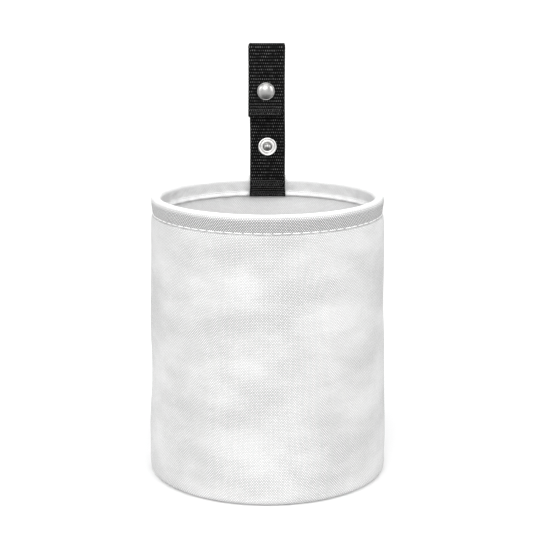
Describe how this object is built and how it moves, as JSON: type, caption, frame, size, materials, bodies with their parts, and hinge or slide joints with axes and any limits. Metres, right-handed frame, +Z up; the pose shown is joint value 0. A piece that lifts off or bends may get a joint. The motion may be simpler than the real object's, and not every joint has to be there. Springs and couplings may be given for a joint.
{
  "type": "round cloth bucket bag with strap",
  "caption": "Open-topped round bag of heavy white woven cloth with a hooped rim and a black webbing strap that folds into a hanging loop closed by a press stud.",
  "frame": {"origin": "centre of the base's underside, on the floor", "axes": "+Z up, out of the open mouth; +Y towards the side that carries the strap; the strap's front layer and cap face -Y"},
  "size_m": [0.162, 0.162, 0.2857],
  "materials": {
    "white_cloth": "coarse plain-woven heavy cloth, matt white",
    "white_tape": "white woven seam tape",
    "white_thread": "thick white sewing thread",
    "black_webbing": "black ribbed webbing with a slight sheen",
    "black_thread": "black sewing thread",
    "nickel_plate": "satin nickel-plated pressed metal",
    "spring_wire": "bright spring wire",
    "hoop_rod": "plain round plastic rod"
  },
  "bodies": {
    "bag": {"wall_panel": "white_cloth", "base_panel": "white_cloth", "rim_hoop": "hoop_rod", "hem_stitching_outer": "white_thread", "hem_stitching_inner": "white_thread", "base_seam_binding": "white_tape", "base_seam_stitching": "white_thread", "side_seam_tape": "white_tape", "side_seam_stitching_front": "white_thread", "side_seam_stitching_rear": "white_thread", "strap_sewn_end": "black_webbing", "strap_foot_stitching": "black_thread"},
    "strap_lower": {"strap_webbing_lower": "black_webbing", "lower_stud": "nickel_plate", "lower_stud_post": "nickel_plate"},
    "strap_upper": {"strap_webbing_upper": "black_webbing", "strap_webbing_crown": "black_webbing", "upper_stud": "nickel_plate", "upper_stud_post": "nickel_plate"},
    "strap_flap": {"strap_webbing_flap": "black_webbing", "flap_end_stitching": "black_thread", "snap_cap": "nickel_plate", "snap_socket": "nickel_plate", "socket_spring": "spring_wire"}
  },
  "joints": [
    {"name": "strap_rim_bend", "type": "hinge", "parent": "bag", "child": "strap_lower", "pos_m": [0, 0.0747, 0.1877], "axis": [1, 0, 0], "range_deg": [-95, 95]},
    {"name": "strap_mid_bend", "type": "hinge", "parent": "strap_lower", "child": "strap_upper", "pos_m": [0, 0.0703, 0.2257], "axis": [1, 0, 0], "range_deg": [-85, 85]},
    {"name": "flap_fold", "type": "hinge", "parent": "strap_upper", "child": "strap_flap", "pos_m": [-0.00055, 0.06715, 0.2867], "axis": [-1, 0, 0], "range_deg": [0, 180]}
  ]
}
